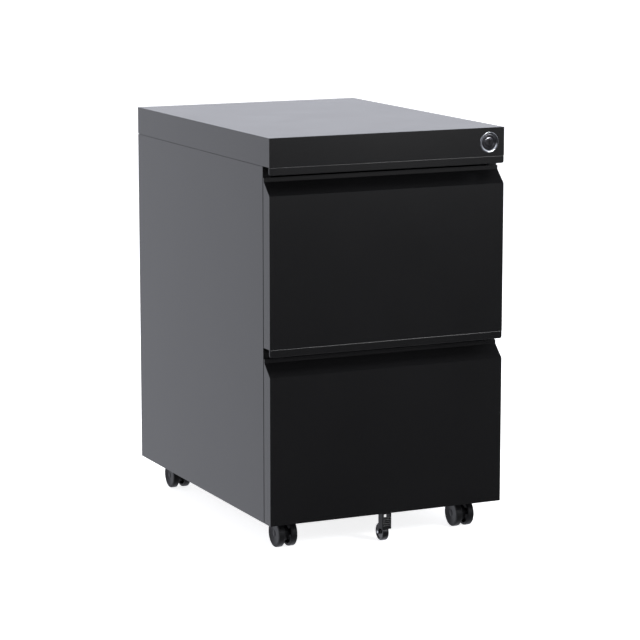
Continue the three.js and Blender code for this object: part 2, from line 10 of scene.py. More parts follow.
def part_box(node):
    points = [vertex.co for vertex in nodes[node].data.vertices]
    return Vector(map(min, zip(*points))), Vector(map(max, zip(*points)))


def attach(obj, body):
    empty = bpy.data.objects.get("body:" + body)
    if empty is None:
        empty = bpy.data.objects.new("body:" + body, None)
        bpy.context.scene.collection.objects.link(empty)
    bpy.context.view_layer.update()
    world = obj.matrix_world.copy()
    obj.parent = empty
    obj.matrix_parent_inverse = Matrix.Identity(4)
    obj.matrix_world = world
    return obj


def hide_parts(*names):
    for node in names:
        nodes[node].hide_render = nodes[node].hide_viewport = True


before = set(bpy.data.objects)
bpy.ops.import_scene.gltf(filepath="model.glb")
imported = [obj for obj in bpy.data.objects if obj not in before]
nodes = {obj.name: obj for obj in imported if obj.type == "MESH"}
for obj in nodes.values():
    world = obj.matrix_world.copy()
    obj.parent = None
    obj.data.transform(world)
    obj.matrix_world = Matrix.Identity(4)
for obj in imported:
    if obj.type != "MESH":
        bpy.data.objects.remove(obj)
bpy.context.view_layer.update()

MM = 0.001
SIDES = (("left", -1), ("right", 1))
DRAWERS = ("upper", "lower")
CASTERS = ("front_left", "front_right", "rear_left", "rear_right")

# ---- Sizes read from the frame ----------------------------------------------------------------

cap_low, cap_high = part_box("top_cap")
HALF_WIDTH = cap_high.x
FRONT_Y = cap_low.y
BACK_Y = cap_high.y
TOP_Z = cap_high.z
wall_low, wall_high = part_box("left_side_panel")
BOTTOM_Z = wall_low.z
BODY_FRONT_Y = wall_low.y
TONGUE_TOP_Z = wall_high.z

# ---- Sizes that only the looks need -----------------------------------------------------------

SHEET = 0.8 * MM
BEND_RADIUS = 0.9 * MM
BEND_STEPS = 5
EDGE_SOFTNESS = 0.12 * MM
CAP_HEIGHT = 41 * MM
LIP_HEIGHT = 11.2 * MM
LIP_THICKNESS = 3 * MM
LIP_CORNER = 3.2 * MM
FRONT_DEPTH = 21 * MM
SLANT_DEPTH = 19 * MM
SLANT_RISE = 18.2 * MM
STRIP_HEIGHT = 6 * MM
CAP_SEAM = 0.8 * MM
RETURN_FLANGE = 13 * MM
HEM_WIDTH = 9 * MM
HEM_BACK_GAP = 17 * MM
TONGUE_INSET = 1.1 * MM
TONGUE_BOTTOM_DROP = 14.8 * MM
FOLD_GAP = 0.05 * MM
FOLD_START = 0.3 * MM
LIP_EDGE = 0.9 * MM
PAINTED_EDGE = 0.3 * MM

ROUND = 72
MERGE_DISTANCE = 0.001 * MM
PLUG_MERGE_DISTANCE = 0.01 * MM
WELD_DISTANCE = 0.002 * MM
FLAT_WEIGHT = 95
# Angles in degrees: a bend, facets that count as one flat face, and an edge that stays hard.
BENT_ANGLE = 5
FACET_ANGLE = 1
HARD_ANGLE = 50

LOCK_DEPTH = 9 * MM
LOCK_CORNER = 0.75 * MM
PLUG_CORNER = 0.5 * MM
PLUG_RING_BAND = 5.6 * MM
KEYWAY_HALF_WIDTH = 0.75 * MM
KEYWAY_HALF_HEIGHT = 3.6 * MM
KEYWAY_DEPTH = 4.5 * MM

TYRE_DEPTH = 2.4 * MM
TYRE_SHOULDER = 1.7 * MM
AXLE_ROOM = 2.65 * MM
WEB_SIDE_GAP = 0.3 * MM
WEB_INSET = 8.5 * MM
WEB_CORNER = 0.7 * MM
COLLAR_RADIUS = 13 * MM
COLLAR_GAP = 0.5 * MM
COLLAR_HEIGHT = 6 * MM
NECK_RISE = 6 * MM
NECK_TRIM = 2 * MM
NECK_EDGE = 0.6 * MM
KINGPIN_RADIUS = 4 * MM

ROLLER_BORE = 1.7 * MM
ROLLER_SHOULDER = 2.2 * MM
RIB_COUNT = 5
RIB_STEP = 2.9 * MM
RIB_DEPTH = 0.9 * MM
RIB_TOP_DROP = 6.6 * MM
RIB_SIDE_GAP = 0.8 * MM

SLIDE_WALL = 1.2 * MM
BALL_RADIUS = 0.9 * MM
BALL_STEP = 15 * MM
CAGE_THICKNESS = 0.5 * MM
CAGE_HALF_WIDTH = 2 * MM
CAGE_EDGE = 0.1 * MM

# The part of a noise texture's 0..1 range that a colour ramp spreads out.
RAMP_SPAN = (0.3, 0.7)


# ---- Mesh helpers -----------------------------------------------------------------------------


def new_object(name, mesh):
    piece = bpy.data.objects.new(name, mesh)
    bpy.context.scene.collection.objects.link(piece)
    return piece


def mesh_from(bm, name, smooth_angle=35):
    """Turns a bmesh into an object that shades smooth below an angle and sharp above it."""
    bmesh.ops.recalc_face_normals(bm, faces=bm.faces)
    limit = math.radians(smooth_angle)
    for face in bm.faces:
        face.smooth = True
    for edge in bm.edges:
        if len(edge.link_faces) == 2:
            edge.smooth = edge.calc_face_angle() < limit
    mesh = bpy.data.meshes.new(name)
    bm.to_mesh(mesh)
    bm.free()
    return new_object(name, mesh)


def add_modifier(piece, kind, **settings):
    modifier = piece.modifiers.new(kind.title(), kind)
    for key, value in settings.items():
        setattr(modifier, key, value)


def soften(piece, width, segments=2, angle=40):
    """Rounds a piece's sharp edges by a modifier and keeps its flat faces flat."""
    add_modifier(
        piece,
        "BEVEL",
        width=width,
        segments=segments,
        limit_method="ANGLE",
        angle_limit=math.radians(angle),
    )
    keep_flat(piece)


def keep_flat(piece):
    """Big faces keep their own direction, so only the rounded edges between them shade as curves."""
    mode = "FACE_AREA_WITH_ANGLE"
    add_modifier(piece, "WEIGHTED_NORMAL", mode=mode, weight=FLAT_WEIGHT, keep_sharp=True)


def place(piece, body, slot, material, *replaced):
    piece.data.materials.clear()
    piece.data.materials.append(material)
    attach(piece, body)
    if replaced:
        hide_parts(*replaced)


def box_faces(bm, low, high, skip=()):
    """Adds a block's faces. skip leaves some out: any of -x +x -y +y -z +z."""
    x0, y0, z0 = low
    x1, y1, z1 = high
    corners = [bm.verts.new(c) for c in (
        (x0, y0, z0), (x1, y0, z0), (x1, y1, z0), (x0, y1, z0),
        (x0, y0, z1), (x1, y0, z1), (x1, y1, z1), (x0, y1, z1),
    )]
    sides = {
        "-z": (0, 3, 2, 1), "+z": (4, 5, 6, 7), "-y": (0, 1, 5, 4),
        "+x": (1, 2, 6, 5), "+y": (2, 3, 7, 6), "-x": (3, 0, 4, 7),
    }
    for side, ring in sides.items():
        if side not in skip:
            bm.faces.new([corners[i] for i in ring])


def bevel_inner_edges(bm):
    """Rounds every edge that joins two faces at an angle, as a press brake would."""
    limit = math.radians(BENT_ANGLE)
    bent = [e for e in bm.edges if len(e.link_faces) == 2 and e.calc_face_angle() > limit]
    bmesh.ops.bevel(
        bm,
        geom=bent,
        offset=BEND_RADIUS,
        segments=BEND_STEPS,
        profile=0.5,
        affect="EDGES",
        clamp_overlap=True,
    )


def prism(bm, outline, axis, start, end):
    """Sweeps a closed outline of (u, v) along an axis: x uses (y, z), y uses (x, z), z uses (x, y)."""
    def point(u, v, along):
        return {"x": (along, u, v), "y": (u, along, v), "z": (u, v, along)}[axis]

    first = [bm.verts.new(point(u, v, start)) for u, v in outline]
    last = [bm.verts.new(point(u, v, end)) for u, v in outline]
    count = len(outline)
    for i in range(count):
        j = (i + 1) % count
        bm.faces.new((first[i], first[j], last[j], last[i]))
    bm.faces.new(list(reversed(first)))
    bm.faces.new(last)


def lathe(bm, profile, segments, centre, axis):
    """Turns (radius, along) points round an axis through centre. Points on the axis close the end."""
    centre = Vector(centre)
    rings = []
    for radius, along in profile:
        ring = []
        for k in range(segments if radius > 1e-9 else 1):
            angle = 2 * math.pi * k / segments
            a, b = radius * math.cos(angle), radius * math.sin(angle)
            offset = {"x": (along, a, b), "y": (b, along, a), "z": (a, b, along)}[axis]
            ring.append(bm.verts.new(centre + Vector(offset)))
        rings.append(ring)
    for ring, following in zip(rings, rings[1:]):
        for k in range(segments):
            n = (k + 1) % segments
            corners = [ring[k % len(ring)], ring[n % len(ring)]]
            corners += [following[n % len(following)], following[k % len(following)]]
            unique = list(dict.fromkeys(corners))
            if len(unique) > 2:
                bm.faces.new(unique)


def arc(cx, cy, radius, start, end, steps):
    """Points of an arc in degrees, both ends included."""
    return [
        (
            cx + radius * math.cos(math.radians(start + (end - start) * i / steps)),
            cy + radius * math.sin(math.radians(start + (end - start) * i / steps)),
        )
        for i in range(steps + 1)
    ]


# ---- Materials --------------------------------------------------------------------------------


class Nodes:
    """A small wrapper that adds shader nodes and links them."""

    def __init__(self, name):
        self.material = bpy.data.materials.new(name)
        self.material.use_nodes = True
        self.tree = self.material.node_tree
        self.shader = self.tree.nodes["Principled BSDF"]

    def add(self, kind, **values):
        node = self.tree.nodes.new(kind)
        for key, value in values.items():
            node.inputs[key].default_value = value
        return node

    def link(self, source, target):
        self.tree.links.new(source, target)

    def noise(self, scale, detail, stretch=(1, 1, 1)):
        place_by = self.add("ShaderNodeTexCoord")
        mapping = self.add("ShaderNodeMapping")
        mapping.inputs["Scale"].default_value = stretch
        noise = self.add("ShaderNodeTexNoise", Scale=scale, Detail=detail)
        self.link(place_by.outputs["Object"], mapping.inputs["Vector"])
        self.link(mapping.outputs["Vector"], noise.inputs["Vector"])
        return noise

    def ramp(self, source, low, high):
        """Spreads a 0..1 value between two numbers or two colours."""
        ramp = self.add("ShaderNodeValToRGB")
        ends = ramp.color_ramp.elements
        ends[0].position, ends[1].position = RAMP_SPAN
        for end, value in zip(ends, (low, high)):
            end.color = (*value, 1) if isinstance(value, tuple) else (value, value, value, 1)
        self.link(source, ramp.inputs["Fac"])
        return ramp.outputs["Color"]

    def bump(self, height, strength, distance, below=None):
        bump = self.add("ShaderNodeBump", Strength=strength, Distance=distance)
        self.link(height, bump.inputs["Height"])
        if below is not None:
            self.link(below, bump.inputs["Normal"])
        return bump.outputs["Normal"]


def powder_coat(name, dark, light, gloss):
    """Smooth semi-gloss powder coat: a fine orange peel, faint mottling and slightly uneven gloss."""
    m = Nodes(name)
    mottle = m.noise(6, detail=4)
    m.link(m.ramp(mottle.outputs["Fac"], dark, light), m.shader.inputs["Base Color"])
    haze = m.noise(14, detail=3)
    m.link(m.ramp(haze.outputs["Fac"], gloss - 0.006, gloss + 0.006), m.shader.inputs["Roughness"])
    peel = m.noise(900, detail=2)
    fine = m.noise(2600, detail=1)
    soft = m.bump(peel.outputs["Fac"], 0.08, 0.06 * MM)
    m.link(m.bump(fine.outputs["Fac"], 0.05, 0.02 * MM, soft), m.shader.inputs["Normal"])
    m.shader.inputs["IOR"].default_value = 1.5
    return m.material


def zinc_plate(name, tint, gloss):
    """Rolled zinc-plated steel: long brush lines and cloudy crystal patches."""
    m = Nodes(name)
    cloud = m.noise(40, detail=5)
    dull = tuple(c * 0.82 for c in tint)
    m.link(m.ramp(cloud.outputs["Fac"], dull, tint), m.shader.inputs["Base Color"])
    lines = m.noise(300, detail=3, stretch=(8, 0.15, 8))
    m.link(m.ramp(lines.outputs["Fac"], gloss - 0.06, gloss + 0.08), m.shader.inputs["Roughness"])
    m.link(m.bump(lines.outputs["Fac"], 0.15, 0.03 * MM), m.shader.inputs["Normal"])
    m.shader.inputs["Metallic"].default_value = 1
    return m.material


def polished_chrome(name, dull, bright, gloss):
    m = Nodes(name)
    haze = m.noise(120, detail=4)
    m.link(m.ramp(haze.outputs["Fac"], gloss - 0.03, gloss + 0.03), m.shader.inputs["Roughness"])
    m.link(m.ramp(haze.outputs["Fac"], dull, bright), m.shader.inputs["Base Color"])
    m.shader.inputs["Metallic"].default_value = 1
    return m.material


def moulded_nylon(name, dark, light, gloss, grain, shine=0.5):
    """Glass-filled black nylon: a slightly mottled colour, flow haze and a fine mould grain."""
    m = Nodes(name)
    flow = m.noise(30, detail=4)
    m.link(m.ramp(flow.outputs["Fac"], dark, light), m.shader.inputs["Base Color"])
    m.link(m.ramp(flow.outputs["Fac"], gloss + 0.05, gloss - 0.05), m.shader.inputs["Roughness"])
    spark = m.noise(1500, detail=2)
    m.link(m.bump(spark.outputs["Fac"], grain, 0.03 * MM), m.shader.inputs["Normal"])
    m.shader.inputs["Specular IOR Level"].default_value = shine
    return m.material


def painted_shade(name):
    # Near-black matt colour with a little random tone: painted shade for the darkness deep inside a
    # hole.
    m = Nodes(name)
    shade_mottle = m.noise(200, detail=3)
    m.link(m.ramp(shade_mottle.outputs["Fac"], (0.002,) * 3, (0.006,) * 3), m.shader.inputs["Base Color"])
    m.link(m.ramp(shade_mottle.outputs["Fac"], 0.55, 0.75), m.shader.inputs["Roughness"])
    return m.material


PAINT = powder_coat("black_powder_coat", (0.0034, 0.0034, 0.0036), (0.004, 0.004, 0.0042), 0.26)
ZINC = zinc_plate("zinc_plated_steel", (0.62, 0.64, 0.66), 0.32)
CHROME = polished_chrome("polished_chrome", (0.42, 0.43, 0.45), (0.5, 0.51, 0.53), 0.1)
PLUG = polished_chrome("dulled_chrome", (0.1, 0.1, 0.11), (0.16, 0.16, 0.17), 0.2)
NYLON = moulded_nylon("moulded_nylon", (0.006, 0.006, 0.007), (0.01, 0.01, 0.0115), 0.5, 0.2, 0.2)
TREAD = moulded_nylon("tread_nylon", (0.004, 0.004, 0.0045), (0.007, 0.007, 0.0075), 0.42, 0.3, 0.22)
HOUSING = moulded_nylon("housing_nylon", (0.003, 0.003, 0.0035), (0.006, 0.006, 0.0065), 0.5, 0.3, 0.2)
GLOSSY = moulded_nylon("glossy_nylon", (0.004, 0.004, 0.0045), (0.007, 0.007, 0.0075), 0.2, 0.08)
# Painted shade for the inside of the keyway.
KEYWAY_SHADE = painted_shade("keyway_shadow")

# ---- Sheet metal ------------------------------------------------------------------------------


def folded_shell(name, bm):
    """Gives an open outer surface real bends and the sheet's thickness, folded inwards."""
    bevel_inner_edges(bm)
    piece = mesh_from(bm, name)
    thicken(piece)
    return piece


def thicken(piece):
    """Folds the sheet's thickness inwards. The raw rim stays a hard edge and flat faces stay flat."""
    add_modifier(piece, "SOLIDIFY", thickness=SHEET, offset=-1, use_even_offset=True, use_rim=True)
    add_modifier(piece, "EDGE_SPLIT", split_angle=math.radians(HARD_ANGLE), use_edge_sharp=False)
    keep_flat(piece)


def top_cap():
    bm = bmesh.new()
    low = (-HALF_WIDTH, FRONT_Y, TOP_Z - CAP_HEIGHT)
    box_faces(bm, low, (HALF_WIDTH, BACK_Y, TOP_Z), skip=("-z",))
    return folded_shell("cap_shell", bm)


def lip(name, top):
    """A hemmed strip with round lower corners, its face level with the one above it."""
    bm = bmesh.new()
    low = top - LIP_HEIGHT
    left, right = -HALF_WIDTH, HALF_WIDTH
    r = LIP_CORNER
    outline = [(left, top), *arc(left + r, low + r, r, 180, 270, 8)]
    outline += [*arc(right - r, low + r, r, 270, 360, 8), (right, top)]
    prism(bm, outline, "y", FRONT_Y, FRONT_Y + LIP_THICKNESS)
    piece = mesh_from(bm, name)
    soften(piece, LIP_EDGE, segments=4, angle=HARD_ANGLE)
    return piece


def drawer_front(drawer):
    """The folded pan: flat face, slanted pull, upright strip, side flanges and bottom flange."""
    low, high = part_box(f"{drawer}_drawer_front")
    top = high.z
    bottom = low.z + (LIP_HEIGHT if drawer == "upper" else 0)
    slant_top = top - STRIP_HEIGHT
    face_top = slant_top - SLANT_RISE
    back = FRONT_Y + FRONT_DEPTH
    profile = [
        (FRONT_Y, bottom),
        (FRONT_Y, face_top),
        (FRONT_Y + SLANT_DEPTH, slant_top),
        (FRONT_Y + SLANT_DEPTH, top),
    ]
    bm = bmesh.new()
    left = [bm.verts.new((-HALF_WIDTH, y, z)) for y, z in profile]
    right = [bm.verts.new((HALF_WIDTH, y, z)) for y, z in profile]
    for i in range(len(profile) - 1):
        bm.faces.new((left[i], right[i], right[i + 1], left[i + 1]))
    for ring, x in ((left, -HALF_WIDTH), (right, HALF_WIDTH)):
        rear_low = bm.verts.new((x, back, bottom))
        rear_high = bm.verts.new((x, back, top))
        bm.faces.new((*ring, rear_high, rear_low))
        ring.append(rear_low)
    bm.faces.new((left[0], left[-1], right[-1], right[0]))
    return folded_shell(f"{drawer}_front_pan", bm), bottom


def side_wall(side, sign):
    """The wall and its front return, as one bent sheet."""
    bm = bmesh.new()
    top = TOP_Z - CAP_HEIGHT - CAP_SEAM
    x = sign * HALF_WIDTH
    inner = sign * (HALF_WIDTH - RETURN_FLANGE)
    plan = ((x, BACK_Y), (x, BODY_FRONT_Y), (inner, BODY_FRONT_Y))
    low = [bm.verts.new((u, v, BOTTOM_Z)) for u, v in plan]
    high = [bm.verts.new((u, v, top)) for u, v in plan]
    for i in range(len(plan) - 1):
        bm.faces.new((low[i], low[i + 1], high[i + 1], high[i]))
    bevel_inner_edges(bm)
    piece = mesh_from(bm, f"{side}_side_skin")
    # recalc_face_normals can't tell the outside of an open sheet, so the wall's own side settles it
    wall = max(piece.data.polygons, key=lambda face: face.area)
    if wall.normal.x * sign < 0:
        piece.data.flip_normals()
    thicken(piece)
    return piece


def side_folds(side, sign):
    """The hem under the wall and the joggled tongue that runs up inside the cap's skirt."""
    bm = bmesh.new()
    root = HALF_WIDTH - SHEET - FOLD_GAP
    hem_top = BOTTOM_Z + SHEET
    hem = [
        (sign * (root - HEM_WIDTH), BOTTOM_Z),
        (sign * root, BOTTOM_Z),
        (sign * root, hem_top + 1.2 * MM),
        (sign * (root - 0.8 * MM), hem_top + 0.4 * MM),
        (sign * (root - 1.6 * MM), hem_top),
        (sign * (root - HEM_WIDTH), hem_top),
    ]
    start = BODY_FRONT_Y + SHEET + FOLD_START
    prism(bm, hem, "y", start, BACK_Y - HEM_BACK_GAP)
    top = TOP_Z - CAP_HEIGHT - CAP_SEAM
    joggle = HALF_WIDTH - TONGUE_INSET
    tongue = [
        (sign * (joggle - SHEET), top - TONGUE_BOTTOM_DROP),
        (sign * root, top - TONGUE_BOTTOM_DROP),
        (sign * root, top - 1.4 * MM),
        (sign * joggle, top - 0.6 * MM),
        (sign * joggle, TONGUE_TOP_Z),
        (sign * (joggle - SHEET), TONGUE_TOP_Z),
    ]
    prism(bm, tongue, "y", start, BACK_Y - 2 * SHEET)
    piece = mesh_from(bm, f"{side}_side_folds")
    soften(piece, EDGE_SOFTNESS)
    return piece


def cad_finish(name, material, softness=EDGE_SOFTNESS, segments=1):
    """Keeps a CAD node: merges its facets into flat faces, then rounds its edges by modifiers."""
    piece = nodes[name]
    piece.data.materials.clear()
    piece.data.materials.append(material)
    for face in piece.data.polygons:
        face.use_smooth = True
        face.material_index = 0
    add_modifier(piece, "WELD", merge_threshold=WELD_DISTANCE)
    add_modifier(piece, "DECIMATE", decimate_type="DISSOLVE", angle_limit=math.radians(FACET_ANGLE))
    soften(piece, softness, segments=segments, angle=30)


# ---- Lock -------------------------------------------------------------------------------------


def slotted_face(bm, outer, inner, front, depth, centre):
    """A flat face between an outer and an inner closed loop, with the inner loop's walls and floor."""
    cx, cz = centre
    outer_ring = [bm.verts.new((cx + u, front, cz + v)) for u, v in outer]
    inner_ring = [bm.verts.new((cx + u, front, cz + v)) for u, v in inner]
    edges = []
    for ring in (outer_ring, inner_ring):
        edges += [bm.edges.new((a, b)) for a, b in zip(ring, ring[1:] + ring[:1])]
    bmesh.ops.triangle_fill(bm, use_beauty=True, use_dissolve=False, edges=edges)
    floor = [bm.verts.new((cx + u, front + depth, cz + v)) for u, v in inner]
    count = len(inner)
    for i in range(count):
        j = (i + 1) % count
        bm.faces.new((inner_ring[i], inner_ring[j], floor[j], floor[i]))
    bm.faces.new(floor)


def lock_pieces():
    """A dished rim round a turning plug. Rings are turned into the plug's face round the keyway, and a
    near-black block in the keyway is painted shade.
    """
    low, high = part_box("lock_housing")
    plug_low, plug_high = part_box("lock_plug")
    centre = Vector(((low.x + high.x) / 2, 0, (low.z + high.z) / 2))
    rim = (high.x - low.x) / 2
    plug = (plug_high.x - plug_low.x) / 2
    face = low.y
    bm = bmesh.new()
    profile = [
        (plug + 0.35 * MM, face + LOCK_DEPTH),
        (plug + 0.35 * MM, face + 1.1 * MM),
        *[(plug + 0.5 * MM + 1.5 * MM * t, face + (1.0 - 0.55 * t) * MM) for t in (0, 0.5, 1)],
        (rim - 1.6 * MM, face + 0.12 * MM),
        (rim - 1.15 * MM, face),
        *arc(rim - LOCK_CORNER, face + LOCK_CORNER, LOCK_CORNER, -90, 0, 6),
        (rim, -0.1 * MM + FRONT_Y),
        (rim - 2.4 * MM, -0.1 * MM + FRONT_Y),
        (rim - 2.4 * MM, face + LOCK_DEPTH),
    ]
    lathe(bm, [*profile, profile[0]], ROUND, centre, "y")
    bmesh.ops.remove_doubles(bm, verts=bm.verts, dist=MERGE_DISTANCE)
    shell = mesh_from(bm, "lock_rim", smooth_angle=30)
    place(shell, "cabinet", "chrome", CHROME, "lock_housing")

    front = plug_low.y
    ledge = plug - PLUG_RING_BAND
    bm = bmesh.new()
    rings = [
        (plug, front + 4 * MM),
        (plug, front + PLUG_CORNER),
        *arc(plug - PLUG_CORNER, front + PLUG_CORNER, PLUG_CORNER, 0, -90, 4),
        (plug - 1.7 * MM, front),
        (plug - 1.95 * MM, front + 0.3 * MM),
        (plug - 2.35 * MM, front + 0.3 * MM),
        (plug - 2.6 * MM, front),
        (plug - 3.7 * MM, front),
        (plug - 4.1 * MM, front + 0.35 * MM),
        (plug - 4.5 * MM, front + 0.35 * MM),
        (ledge + 0.5 * MM, front + 0.1 * MM),
        (ledge, front + 0.05 * MM),
    ]
    lathe(bm, rings, ROUND, Vector((centre.x, 0, centre.z)), "y")
    circle = [
        (ledge * math.sin(2 * math.pi * k / ROUND), ledge * math.cos(2 * math.pi * k / ROUND))
        for k in range(ROUND)
    ]
    end = KEYWAY_HALF_HEIGHT - KEYWAY_HALF_WIDTH
    slot = arc(0, end, KEYWAY_HALF_WIDTH, 0, 180, 8)
    slot += arc(0, -end, KEYWAY_HALF_WIDTH, 180, 360, 8)
    slotted_face(bm, circle, slot, front + 0.05 * MM, KEYWAY_DEPTH, (centre.x, centre.z))
    bmesh.ops.remove_doubles(bm, verts=bm.verts, dist=PLUG_MERGE_DISTANCE)
    head = mesh_from(bm, "lock_plug_head", smooth_angle=30)
    place(head, "lock_cylinder", "chrome", PLUG, "lock_plug")

    # A near-black block inside the keyway slot: painted shade standing in for the slot's dark depth,
    # not a real part.
    bm = bmesh.new()
    inner = [(centre.x + u * 0.96, centre.z + v * 0.985) for u, v in slot]
    prism(bm, inner, "y", front + 1.1 * MM, front + 4.3 * MM)
    keyway = mesh_from(bm, "keyway")
    place(keyway, "lock_cylinder", "chrome", KEYWAY_SHADE)


# ---- Casters ----------------------------------------------------------------------------------


def turned_along_x(name, profile, centre, outward, segments=ROUND, smooth_angle=35):
    """profile is (radius, distance in from the outer face). The outer face looks along outward."""
    bm = bmesh.new()
    lathe(bm, [(r, -outward * along) for r, along in profile], segments, centre, "x")
    bmesh.ops.remove_doubles(bm, verts=bm.verts, dist=MERGE_DISTANCE)
    return mesh_from(bm, name, smooth_angle)


def caster_wheel(place_name, side, outward):
    """A dished disc with a hub and a raised ring, and a separate round-shouldered tyre."""
    name = f"{place_name}_caster_wheel_{side}"
    low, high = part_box(name)
    radius = (high.z - low.z) / 2
    width = high.x - low.x
    outer_x = high.x if outward > 0 else low.x
    centre = Vector((outer_x, (low.y + high.y) / 2, (low.z + high.z) / 2))
    seat = radius - TYRE_DEPTH
    disc = [
        (0, 0.35 * MM),
        (4.6 * MM, 0.35 * MM),
        (5.0 * MM, 0.6 * MM),
        (5.6 * MM, 0.6 * MM),
        (6.0 * MM, 0.35 * MM),
        (seat - 2.6 * MM, 0.35 * MM),
        (seat - 2.1 * MM, 0.05 * MM),
        (seat - 0.5 * MM, 0.05 * MM),
        (seat - 0.1 * MM, 0.45 * MM),
        (seat, width - 0.7 * MM),
        (seat - 1.4 * MM, width - 0.5 * MM),
        (seat - 1.9 * MM, 3.2 * MM),
        (5.2 * MM, 2.6 * MM),
        (4.6 * MM, width - 0.4 * MM),
        (AXLE_ROOM, width - 0.4 * MM),
        (AXLE_ROOM, 1.6 * MM),
        (0, 1.6 * MM),
    ]
    body = f"{place_name}_wheel_{side}"
    piece = turned_along_x(f"{name}_disc", disc, centre, outward)
    place(piece, body, "black_nylon", NYLON, name)
    r = TYRE_SHOULDER
    crown = radius - r
    tyre = [
        (seat + 0.05 * MM, 0.5 * MM),
        (seat + 0.4 * MM, 0.15 * MM),
        (crown - 0.3 * MM, 0.0),
        *arc(crown, r, r, -90, 0, 6),
        *arc(crown, width - r, r, 0, 90, 6),
        (crown - 0.3 * MM, width),
        (seat + 0.05 * MM, width - 0.4 * MM),
        (seat + 0.05 * MM, 0.5 * MM),
    ]
    ring = turned_along_x(f"{name}_tyre", tyre, centre, outward)
    place(ring, body, "black_nylon", TREAD)


def caster_housing(place_name):
    """A web between the wheels, a curved neck up to the bearing collar, and the kingpin."""
    name = f"{place_name}_caster_housing"
    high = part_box(name)[1]
    wheel_low, wheel_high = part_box(f"{place_name}_caster_wheel_left")
    other_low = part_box(f"{place_name}_caster_wheel_right")[0]
    radius = (wheel_high.z - wheel_low.z) / 2
    axle = Vector(((wheel_high.x + other_low.x) / 2, (wheel_low.y + wheel_high.y) / 2, radius))
    half = (other_low.x - wheel_high.x) / 2 - WEB_SIDE_GAP
    web_radius = radius - WEB_INSET
    body = f"{place_name}_caster"
    web = [
        (2.6 * MM, 0),
        (5.2 * MM, 0),
        (5.6 * MM, 0.9 * MM),
        (web_radius - 2.4 * MM, 0.9 * MM),
        (web_radius - 2 * MM, 0.15 * MM),
        *arc(web_radius - WEB_CORNER, 0.85 * MM, WEB_CORNER, -90, 0, 4),
        *arc(web_radius - WEB_CORNER, 2 * half - 0.85 * MM, WEB_CORNER, 0, 90, 4),
        (web_radius - 2 * MM, 2 * half - 0.15 * MM),
        (web_radius - 2.4 * MM, 2 * half - 0.9 * MM),
        (5.6 * MM, 2 * half - 0.9 * MM),
        (5.2 * MM, 2 * half),
        (2.6 * MM, 2 * half),
        (2.6 * MM, 0),
    ]
    centre = axle + Vector((half, 0, 0))
    piece = turned_along_x(f"{name}_web", web, centre, 1)
    place(piece, body, "black_nylon", HOUSING, name)

    collar_low = 2 * radius + COLLAR_GAP
    pivot_y = high.y - COLLAR_RADIUS
    back = pivot_y + COLLAR_RADIUS - NECK_TRIM
    neck_low = radius + NECK_RISE
    bm = bmesh.new()
    outline = [
        (axle.y - 0.2 * MM, neck_low),
        (back - 7 * MM, neck_low),
        *arc(back - 7 * MM, neck_low + 6 * MM, 6 * MM, -90, 0, 6)[1:],
        (back, collar_low + 0.3 * MM),
        (pivot_y - 8 * MM, collar_low + 0.3 * MM),
        *arc(axle.y + 5 * MM, collar_low - 5.3 * MM, 5 * MM, 90, 180, 6),
    ]
    prism(bm, outline, "x", axle.x - half, axle.x + half)
    neck = mesh_from(bm, f"{name}_neck")
    soften(neck, NECK_EDGE, segments=3, angle=HARD_ANGLE)
    place(neck, body, "black_nylon", HOUSING)

    top = collar_low + COLLAR_HEIGHT
    pin_top = high.z
    bm = bmesh.new()
    profile = [
        (0, collar_low),
        (COLLAR_RADIUS - 1.5 * MM, collar_low),
        *arc(COLLAR_RADIUS - 0.8 * MM, collar_low + 0.8 * MM, 0.8 * MM, -90, 0, 4),
        (COLLAR_RADIUS, collar_low + 2.4 * MM),
        (COLLAR_RADIUS - 0.6 * MM, collar_low + 2.8 * MM),
        (COLLAR_RADIUS - 0.6 * MM, collar_low + 3.4 * MM),
        (COLLAR_RADIUS, collar_low + 3.8 * MM),
        (COLLAR_RADIUS, top - 0.6 * MM),
        (COLLAR_RADIUS - 0.6 * MM, top),
        (KINGPIN_RADIUS, top),
        (KINGPIN_RADIUS, pin_top - 0.8 * MM),
        (3.2 * MM, pin_top),
        (0, pin_top),
    ]
    lathe(bm, profile, ROUND, Vector((axle.x, pivot_y, 0)), "z")
    collar = mesh_from(bm, f"{name}_collar")
    place(collar, body, "black_nylon", HOUSING)


# ---- Anti-tip wheel ---------------------------------------------------------------------------


